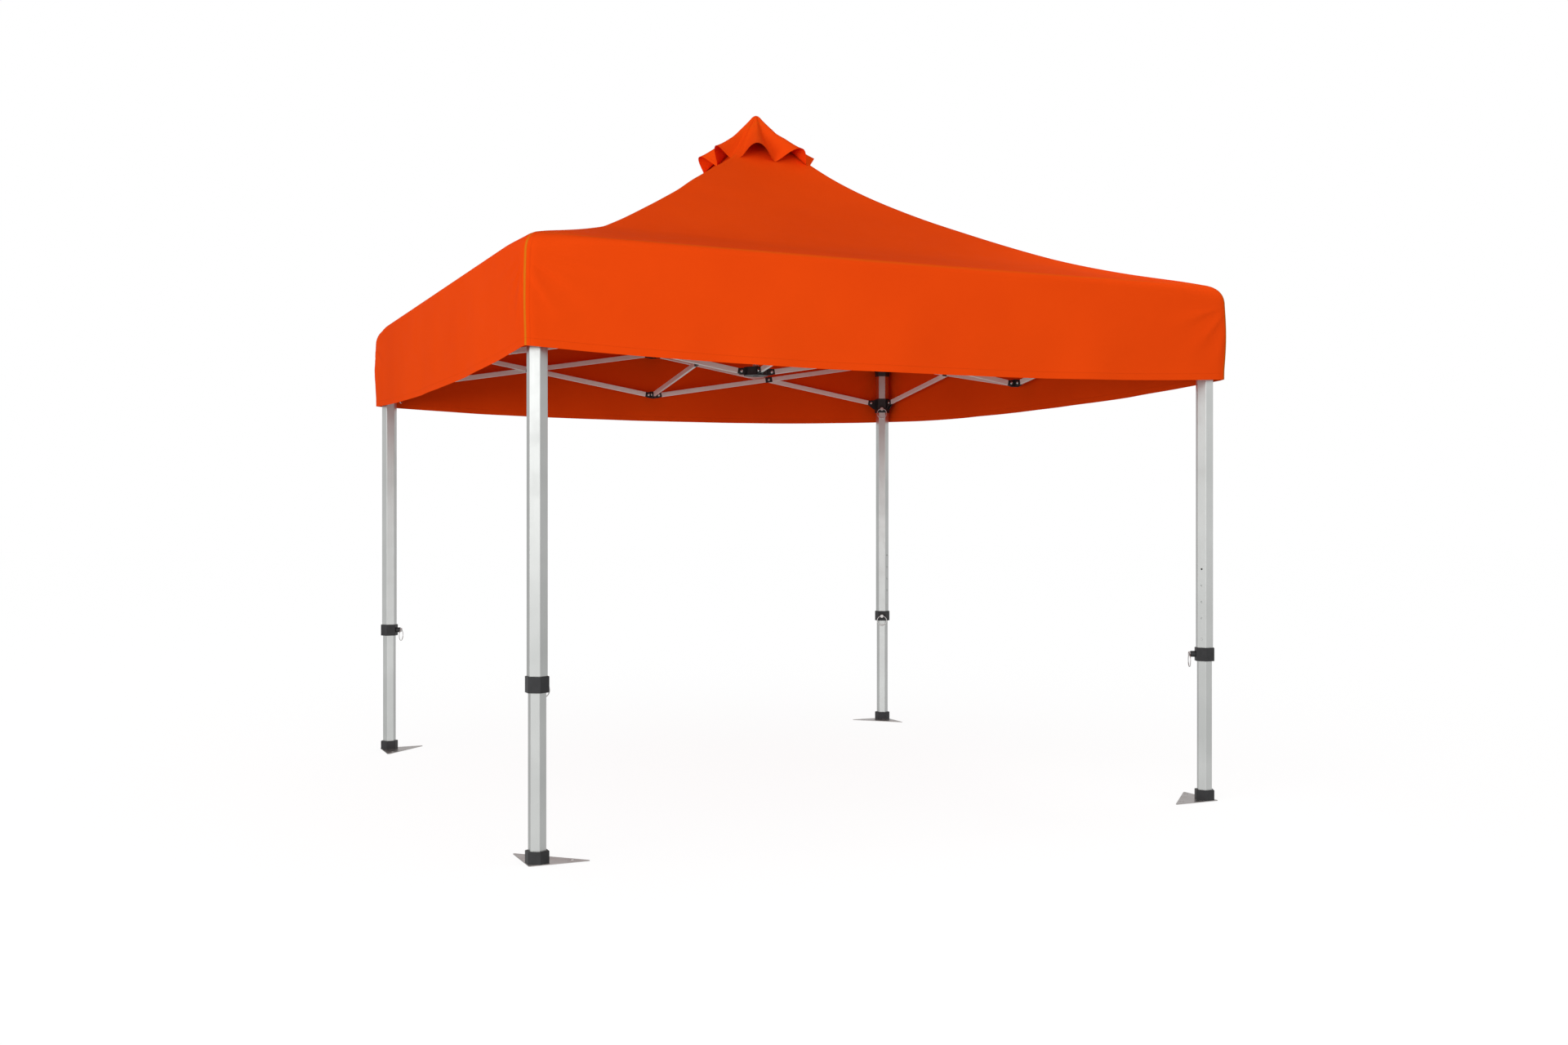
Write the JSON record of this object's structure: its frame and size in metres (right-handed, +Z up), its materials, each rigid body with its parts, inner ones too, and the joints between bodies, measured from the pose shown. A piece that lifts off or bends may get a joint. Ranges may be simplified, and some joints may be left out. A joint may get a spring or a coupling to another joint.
{
  "type": "tarp shelter",
  "caption": "Pop-up shelter: a peaked fabric roof with a valance on a folding scissor frame with telescoping legs, foot plates and a vented peak.",
  "frame": {"origin": "on the ground at the centre of the shelter", "axes": "+Z up along the mast, +X to the right and +Y to the back of the open shelter"},
  "size_m": [3.024, 3.024, 3.122],
  "materials": {
    "leg_aluminium": "satin anodised, with black moulded collars and caps",
    "bar_aluminium": "satin anodised, with black end plugs",
    "mast_aluminium": "satin",
    "moulded_plastic": "fine grained moulding",
    "pin_steel": "plated",
    "canopy_fabric": "coated woven polyester"
  },
  "bodies": {
    "upper_hub": {"upper_hub": "moulded_plastic", "mast_tube": "mast_aluminium", "peak_cap": "moulded_plastic", "canopy": "canopy_fabric", "vent_cap": "canopy_fabric"},
    "lower_hub": {"lower_hub": "moulded_plastic", "mast_rod": "mast_aluminium"},
    "mast_sleeve": {"mast_sleeve": "mast_aluminium"},
    "upper_hub_bar_front": {"upper_hub_bar_front": "bar_aluminium"},
    "lower_hub_bar_front": {"lower_hub_bar_front": "bar_aluminium"},
    "upper_mid_joint_front": {"upper_mid_joint_front": "moulded_plastic"},
    "lower_mid_joint_front": {"lower_mid_joint_front": "moulded_plastic"},
    "slider_bar_front_1": {"slider_bar_front_1": "bar_aluminium"},
    "slider_bar_front_2": {"slider_bar_front_2": "bar_aluminium"},
    "leg_bar_front_1": {"leg_bar_front_1": "bar_aluminium"},
    "leg_bar_front_2": {"leg_bar_front_2": "bar_aluminium"},
    "upper_hub_bar_right": {"upper_hub_bar_right": "bar_aluminium"},
    "lower_hub_bar_right": {"lower_hub_bar_right": "bar_aluminium"},
    "upper_mid_joint_right": {"upper_mid_joint_right": "moulded_plastic"},
    "lower_mid_joint_right": {"lower_mid_joint_right": "moulded_plastic"},
    "slider_bar_right_1": {"slider_bar_right_1": "bar_aluminium"},
    "slider_bar_right_2": {"slider_bar_right_2": "bar_aluminium"},
    "leg_bar_right_1": {"leg_bar_right_1": "bar_aluminium"},
    "leg_bar_right_2": {"leg_bar_right_2": "bar_aluminium"},
    "upper_hub_bar_back": {"upper_hub_bar_back": "bar_aluminium"},
    "lower_hub_bar_back": {"lower_hub_bar_back": "bar_aluminium"},
    "upper_mid_joint_back": {"upper_mid_joint_back": "moulded_plastic"},
    "lower_mid_joint_back": {"lower_mid_joint_back": "moulded_plastic"},
    "slider_bar_back_1": {"slider_bar_back_1": "bar_aluminium"},
    "slider_bar_back_2": {"slider_bar_back_2": "bar_aluminium"},
    "leg_bar_back_1": {"leg_bar_back_1": "bar_aluminium"},
    "leg_bar_back_2": {"leg_bar_back_2": "bar_aluminium"},
    "upper_hub_bar_left": {"upper_hub_bar_left": "bar_aluminium"},
    "lower_hub_bar_left": {"lower_hub_bar_left": "bar_aluminium"},
    "upper_mid_joint_left": {"upper_mid_joint_left": "moulded_plastic"},
    "lower_mid_joint_left": {"lower_mid_joint_left": "moulded_plastic"},
    "slider_bar_left_1": {"slider_bar_left_1": "bar_aluminium"},
    "slider_bar_left_2": {"slider_bar_left_2": "bar_aluminium"},
    "leg_bar_left_1": {"leg_bar_left_1": "bar_aluminium"},
    "leg_bar_left_2": {"leg_bar_left_2": "bar_aluminium"},
    "outer_leg_front_left": {"outer_leg_front_left": "leg_aluminium"},
    "inner_leg_front_left": {"inner_leg_front_left": "leg_aluminium"},
    "slider_front_left": {"slider_front_left": "moulded_plastic"},
    "collar_pin_front_left": {"collar_pin_front_left": "pin_steel"},
    "slider_pin_front_left": {"slider_pin_front_left": "pin_steel"},
    "outer_leg_front_right": {"outer_leg_front_right": "leg_aluminium"},
    "inner_leg_front_right": {"inner_leg_front_right": "leg_aluminium"},
    "slider_front_right": {"slider_front_right": "moulded_plastic"},
    "collar_pin_front_right": {"collar_pin_front_right": "pin_steel"},
    "slider_pin_front_right": {"slider_pin_front_right": "pin_steel"},
    "outer_leg_back_right": {"outer_leg_back_right": "leg_aluminium"},
    "inner_leg_back_right": {"inner_leg_back_right": "leg_aluminium"},
    "slider_back_right": {"slider_back_right": "moulded_plastic"},
    "collar_pin_back_right": {"collar_pin_back_right": "pin_steel"},
    "slider_pin_back_right": {"slider_pin_back_right": "pin_steel"},
    "outer_leg_back_left": {"outer_leg_back_left": "leg_aluminium"},
    "inner_leg_back_left": {"inner_leg_back_left": "leg_aluminium"},
    "slider_back_left": {"slider_back_left": "moulded_plastic"},
    "collar_pin_back_left": {"collar_pin_back_left": "pin_steel"},
    "slider_pin_back_left": {"slider_pin_back_left": "pin_steel"}
  },
  "joints": [
    {"name": "fold", "type": "hinge", "parent": "upper_hub", "child": "upper_hub_bar_front", "pos_m": [0.008, -0.074, 2.131], "axis": [1, 0, 0], "range_deg": [0, 74.55], "deforming": ["canopy", "vent_cap"]},
    {"name": "hub_cross_front", "type": "hinge", "parent": "upper_hub_bar_front", "child": "lower_hub_bar_front", "pos_m": [0, -0.753, 2.018], "axis": [1, 0, 0], "range_deg": [-149.34, 0]},
    {"name": "hub_low_mid_front", "type": "hinge", "parent": "upper_hub_bar_front", "child": "lower_mid_joint_front", "pos_m": [0.008, -1.432, 1.905], "axis": [1, 0, 0], "range_deg": [-74.78, 0]},
    {"name": "hub_high_mid_front", "type": "hinge", "parent": "lower_hub_bar_front", "child": "upper_mid_joint_front", "pos_m": [-0.008, -1.432, 2.131], "axis": [1, 0, 0], "range_deg": [0, 74.78]},
    {"name": "hub_low", "type": "hinge", "parent": "lower_hub_bar_front", "child": "lower_hub", "pos_m": [-0.008, -0.074, 1.905], "axis": [1, 0, 0], "range_deg": [0, 74.78]},
    {"name": "mid_high_front_1", "type": "hinge", "parent": "upper_mid_joint_front", "child": "slider_bar_front_1", "pos_m": [-0.03, -1.476, 2.131], "axis": [0, -1, 0], "range_deg": [0, 74.78]},
    {"name": "mid_low_front_1", "type": "hinge", "parent": "lower_mid_joint_front", "child": "leg_bar_front_1", "pos_m": [-0.03, -1.46, 1.905], "axis": [0, 1, 0], "range_deg": [0, 74.78]},
    {"name": "mid_high_front_2", "type": "hinge", "parent": "upper_mid_joint_front", "child": "slider_bar_front_2", "pos_m": [0.03, -1.476, 2.131], "axis": [0, 1, 0], "range_deg": [0, 74.78]},
    {"name": "mid_low_front_2", "type": "hinge", "parent": "lower_mid_joint_front", "child": "leg_bar_front_2", "pos_m": [0.03, -1.46, 1.905], "axis": [0, -1, 0], "range_deg": [0, 74.78]},
    {"name": "leg_top_front_left", "type": "hinge", "parent": "leg_bar_front_1", "child": "outer_leg_front_left", "pos_m": [-1.388, -1.46, 2.131], "axis": [0, 1, 0], "range_deg": [-74.78, 0]},
    {"name": "leg_slide_pivot_front_left", "type": "hinge", "parent": "slider_bar_front_1", "child": "slider_front_left", "pos_m": [-1.388, -1.476, 1.905], "axis": [0, -1, 0], "range_deg": [-74.78, 0]},
    {"name": "leg_height_front_left", "type": "slide", "parent": "outer_leg_front_left", "child": "inner_leg_front_left", "axis": [0, 0, 1], "range_m": [0, 0.53]},
    {"name": "pull_collar_pin_front_left", "type": "slide", "parent": "outer_leg_front_left", "child": "collar_pin_front_left", "axis": [0.5, 0.866, 0], "range_m": [0, 0.01], "stiffness_N_per_m": 1500, "springref_m": -0.005},
    {"name": "pull_slider_pin_front_left", "type": "slide", "parent": "slider_front_left", "child": "slider_pin_front_left", "axis": [0.5, 0.866, 0], "range_m": [0, 0.01], "stiffness_N_per_m": 1500, "springref_m": -0.005},
    {"name": "hub_fold_right", "type": "hinge", "parent": "upper_hub", "child": "upper_hub_bar_right", "pos_m": [0.074, 0.008, 2.131], "axis": [0, 1, 0], "range_deg": [0, 74.78]},
    {"name": "hub_cross_right", "type": "hinge", "parent": "upper_hub_bar_right", "child": "lower_hub_bar_right", "pos_m": [0.753, 0, 2.018], "axis": [0, 1, 0], "range_deg": [-149.34, 0]},
    {"name": "hub_low_mid_right", "type": "hinge", "parent": "upper_hub_bar_right", "child": "lower_mid_joint_right", "pos_m": [1.432, 0.008, 1.905], "axis": [0, 1, 0], "range_deg": [-74.78, 0]},
    {"name": "hub_high_mid_right", "type": "hinge", "parent": "lower_hub_bar_right", "child": "upper_mid_joint_right", "pos_m": [1.432, -0.008, 2.131], "axis": [0, 1, 0], "range_deg": [0, 74.78]},
    {"name": "mid_high_right_1", "type": "hinge", "parent": "upper_mid_joint_right", "child": "slider_bar_right_1", "pos_m": [1.476, -0.03, 2.131], "axis": [1, 0, 0], "range_deg": [0, 74.78]},
    {"name": "mid_low_right_1", "type": "hinge", "parent": "lower_mid_joint_right", "child": "leg_bar_right_1", "pos_m": [1.46, -0.03, 1.905], "axis": [-1, 0, 0], "range_deg": [0, 74.78]},
    {"name": "mid_high_right_2", "type": "hinge", "parent": "upper_mid_joint_right", "child": "slider_bar_right_2", "pos_m": [1.476, 0.03, 2.131], "axis": [-1, 0, 0], "range_deg": [0, 74.78]},
    {"name": "mid_low_right_2", "type": "hinge", "parent": "lower_mid_joint_right", "child": "leg_bar_right_2", "pos_m": [1.46, 0.03, 1.905], "axis": [1, 0, 0], "range_deg": [0, 74.78]},
    {"name": "leg_top_front_right", "type": "hinge", "parent": "leg_bar_right_1", "child": "outer_leg_front_right", "pos_m": [1.46, -1.388, 2.131], "axis": [-1, 0, 0], "range_deg": [-74.78, 0]},
    {"name": "leg_slide_pivot_front_right", "type": "hinge", "parent": "slider_bar_right_1", "child": "slider_front_right", "pos_m": [1.476, -1.388, 1.905], "axis": [1, 0, 0], "range_deg": [-74.78, 0]},
    {"name": "leg_height_front_right", "type": "slide", "parent": "outer_leg_front_right", "child": "inner_leg_front_right", "axis": [0, 0, 1], "range_m": [0, 0.53]},
    {"name": "pull_collar_pin_front_right", "type": "slide", "parent": "outer_leg_front_right", "child": "collar_pin_front_right", "axis": [-0.866, 0.5, 0], "range_m": [0, 0.01], "stiffness_N_per_m": 1500, "springref_m": -0.005},
    {"name": "pull_slider_pin_front_right", "type": "slide", "parent": "slider_front_right", "child": "slider_pin_front_right", "axis": [-0.866, 0.5, 0], "range_m": [0, 0.01], "stiffness_N_per_m": 1500, "springref_m": -0.005},
    {"name": "hub_fold_back", "type": "hinge", "parent": "upper_hub", "child": "upper_hub_bar_back", "pos_m": [-0.008, 0.074, 2.131], "axis": [-1, 0, 0], "range_deg": [0, 74.78]},
    {"name": "hub_cross_back", "type": "hinge", "parent": "upper_hub_bar_back", "child": "lower_hub_bar_back", "pos_m": [0, 0.753, 2.018], "axis": [-1, 0, 0], "range_deg": [-149.34, 0]},
    {"name": "hub_low_mid_back", "type": "hinge", "parent": "upper_hub_bar_back", "child": "lower_mid_joint_back", "pos_m": [-0.008, 1.432, 1.905], "axis": [-1, 0, 0], "range_deg": [-74.78, 0]},
    {"name": "hub_high_mid_back", "type": "hinge", "parent": "lower_hub_bar_back", "child": "upper_mid_joint_back", "pos_m": [0.008, 1.432, 2.131], "axis": [-1, 0, 0], "range_deg": [0, 74.78]},
    {"name": "mid_high_back_1", "type": "hinge", "parent": "upper_mid_joint_back", "child": "slider_bar_back_1", "pos_m": [0.03, 1.476, 2.131], "axis": [0, 1, 0], "range_deg": [0, 74.78]},
    {"name": "mid_low_back_1", "type": "hinge", "parent": "lower_mid_joint_back", "child": "leg_bar_back_1", "pos_m": [0.03, 1.46, 1.905], "axis": [0, -1, 0], "range_deg": [0, 74.78]},
    {"name": "mid_high_back_2", "type": "hinge", "parent": "upper_mid_joint_back", "child": "slider_bar_back_2", "pos_m": [-0.03, 1.476, 2.131], "axis": [0, -1, 0], "range_deg": [0, 74.78]},
    {"name": "mid_low_back_2", "type": "hinge", "parent": "lower_mid_joint_back", "child": "leg_bar_back_2", "pos_m": [-0.03, 1.46, 1.905], "axis": [0, 1, 0], "range_deg": [0, 74.78]},
    {"name": "leg_top_back_right", "type": "hinge", "parent": "leg_bar_back_1", "child": "outer_leg_back_right", "pos_m": [1.388, 1.46, 2.131], "axis": [0, -1, 0], "range_deg": [-74.78, 0]},
    {"name": "leg_slide_pivot_back_right", "type": "hinge", "parent": "slider_bar_back_1", "child": "slider_back_right", "pos_m": [1.388, 1.476, 1.905], "axis": [0, 1, 0], "range_deg": [-74.78, 0]},
    {"name": "leg_height_back_right", "type": "slide", "parent": "outer_leg_back_right", "child": "inner_leg_back_right", "axis": [0, 0, 1], "range_m": [0, 0.53]},
    {"name": "pull_collar_pin_back_right", "type": "slide", "parent": "outer_leg_back_right", "child": "collar_pin_back_right", "axis": [-0.5, -0.866, 0], "range_m": [0, 0.01], "stiffness_N_per_m": 1500, "springref_m": -0.005},
    {"name": "pull_slider_pin_back_right", "type": "slide", "parent": "slider_back_right", "child": "slider_pin_back_right", "axis": [-0.5, -0.866, 0], "range_m": [0, 0.01], "stiffness_N_per_m": 1500, "springref_m": -0.005},
    {"name": "hub_fold_left", "type": "hinge", "parent": "upper_hub", "child": "upper_hub_bar_left", "pos_m": [-0.074, -0.008, 2.131], "axis": [0, -1, 0], "range_deg": [0, 74.78]},
    {"name": "hub_cross_left", "type": "hinge", "parent": "upper_hub_bar_left", "child": "lower_hub_bar_left", "pos_m": [-0.753, 0, 2.018], "axis": [0, -1, 0], "range_deg": [-149.34, 0]},
    {"name": "hub_low_mid_left", "type": "hinge", "parent": "upper_hub_bar_left", "child": "lower_mid_joint_left", "pos_m": [-1.432, -0.008, 1.905], "axis": [0, -1, 0], "range_deg": [-74.78, 0]},
    {"name": "hub_high_mid_left", "type": "hinge", "parent": "lower_hub_bar_left", "child": "upper_mid_joint_left", "pos_m": [-1.432, 0.008, 2.131], "axis": [0, -1, 0], "range_deg": [0, 74.78]},
    {"name": "mid_high_left_1", "type": "hinge", "parent": "upper_mid_joint_left", "child": "slider_bar_left_1", "pos_m": [-1.476, 0.03, 2.131], "axis": [-1, 0, 0], "range_deg": [0, 74.78]},
    {"name": "mid_low_left_1", "type": "hinge", "parent": "lower_mid_joint_left", "child": "leg_bar_left_1", "pos_m": [-1.46, 0.03, 1.905], "axis": [1, 0, 0], "range_deg": [0, 74.78]},
    {"name": "mid_high_left_2", "type": "hinge", "parent": "upper_mid_joint_left", "child": "slider_bar_left_2", "pos_m": [-1.476, -0.03, 2.131], "axis": [1, 0, 0], "range_deg": [0, 74.78]},
    {"name": "mid_low_left_2", "type": "hinge", "parent": "lower_mid_joint_left", "child": "leg_bar_left_2", "pos_m": [-1.46, -0.03, 1.905], "axis": [-1, 0, 0], "range_deg": [0, 74.78]},
    {"name": "leg_top_back_left", "type": "hinge", "parent": "leg_bar_left_1", "child": "outer_leg_back_left", "pos_m": [-1.46, 1.388, 2.131], "axis": [1, 0, 0], "range_deg": [-74.78, 0]},
    {"name": "leg_slide_pivot_back_left", "type": "hinge", "parent": "slider_bar_left_1", "child": "slider_back_left", "pos_m": [-1.476, 1.388, 1.905], "axis": [-1, 0, 0], "range_deg": [-74.78, 0]},
    {"name": "leg_height_back_left", "type": "slide", "parent": "outer_leg_back_left", "child": "inner_leg_back_left", "axis": [0, 0, 1], "range_m": [0, 0.53]},
    {"name": "pull_collar_pin_back_left", "type": "slide", "parent": "outer_leg_back_left", "child": "collar_pin_back_left", "axis": [0.866, -0.5, 0], "range_m": [0, 0.01], "stiffness_N_per_m": 1500, "springref_m": -0.005},
    {"name": "pull_slider_pin_back_left", "type": "slide", "parent": "slider_back_left", "child": "slider_pin_back_left", "axis": [0.866, -0.5, 0], "range_m": [0, 0.01], "stiffness_N_per_m": 1500, "springref_m": -0.005},
    {"name": "mast_slide", "type": "slide", "parent": "upper_hub", "child": "mast_sleeve", "axis": [0, 0, -1], "range_m": [0, 0.2607]}
  ],
  "couplings": [
    {"joint": "hub_cross_front", "follows": "fold", "ratio": -2},
    {"joint": "hub_low_mid_front", "follows": "fold", "ratio": -1},
    {"joint": "hub_high_mid_front", "follows": "fold", "ratio": 1},
    {"joint": "hub_low", "follows": "fold", "ratio": 1},
    {"joint": "mid_high_front_1", "follows": "fold", "ratio": 1},
    {"joint": "mid_low_front_1", "follows": "fold", "ratio": 1},
    {"joint": "mid_high_front_2", "follows": "fold", "ratio": 1},
    {"joint": "mid_low_front_2", "follows": "fold", "ratio": 1},
    {"joint": "leg_top_front_left", "follows": "fold", "ratio": -1},
    {"joint": "leg_slide_pivot_front_left", "follows": "fold", "ratio": -1},
    {"joint": "hub_fold_right", "follows": "fold", "ratio": 1},
    {"joint": "hub_cross_right", "follows": "fold", "ratio": -2},
    {"joint": "hub_low_mid_right", "follows": "fold", "ratio": -1},
    {"joint": "hub_high_mid_right", "follows": "fold", "ratio": 1},
    {"joint": "mid_high_right_1", "follows": "fold", "ratio": 1},
    {"joint": "mid_low_right_1", "follows": "fold", "ratio": 1},
    {"joint": "mid_high_right_2", "follows": "fold", "ratio": 1},
    {"joint": "mid_low_right_2", "follows": "fold", "ratio": 1},
    {"joint": "leg_top_front_right", "follows": "fold", "ratio": -1},
    {"joint": "leg_slide_pivot_front_right", "follows": "fold", "ratio": -1},
    {"joint": "hub_fold_back", "follows": "fold", "ratio": 1},
    {"joint": "hub_cross_back", "follows": "fold", "ratio": -2},
    {"joint": "hub_low_mid_back", "follows": "fold", "ratio": -1},
    {"joint": "hub_high_mid_back", "follows": "fold", "ratio": 1},
    {"joint": "mid_high_back_1", "follows": "fold", "ratio": 1},
    {"joint": "mid_low_back_1", "follows": "fold", "ratio": 1},
    {"joint": "mid_high_back_2", "follows": "fold", "ratio": 1},
    {"joint": "mid_low_back_2", "follows": "fold", "ratio": 1},
    {"joint": "leg_top_back_right", "follows": "fold", "ratio": -1},
    {"joint": "leg_slide_pivot_back_right", "follows": "fold", "ratio": -1},
    {"joint": "hub_fold_left", "follows": "fold", "ratio": 1},
    {"joint": "hub_cross_left", "follows": "fold", "ratio": -2},
    {"joint": "hub_low_mid_left", "follows": "fold", "ratio": -1},
    {"joint": "hub_high_mid_left", "follows": "fold", "ratio": 1},
    {"joint": "mid_high_left_1", "follows": "fold", "ratio": 1},
    {"joint": "mid_low_left_1", "follows": "fold", "ratio": 1},
    {"joint": "mid_high_left_2", "follows": "fold", "ratio": 1},
    {"joint": "mid_low_left_2", "follows": "fold", "ratio": 1},
    {"joint": "leg_top_back_left", "follows": "fold", "ratio": -1},
    {"joint": "leg_slide_pivot_back_left", "follows": "fold", "ratio": -1},
    {"joint": "mast_slide", "follows": "fold", "m_per_rad": 0.2}
  ]
}
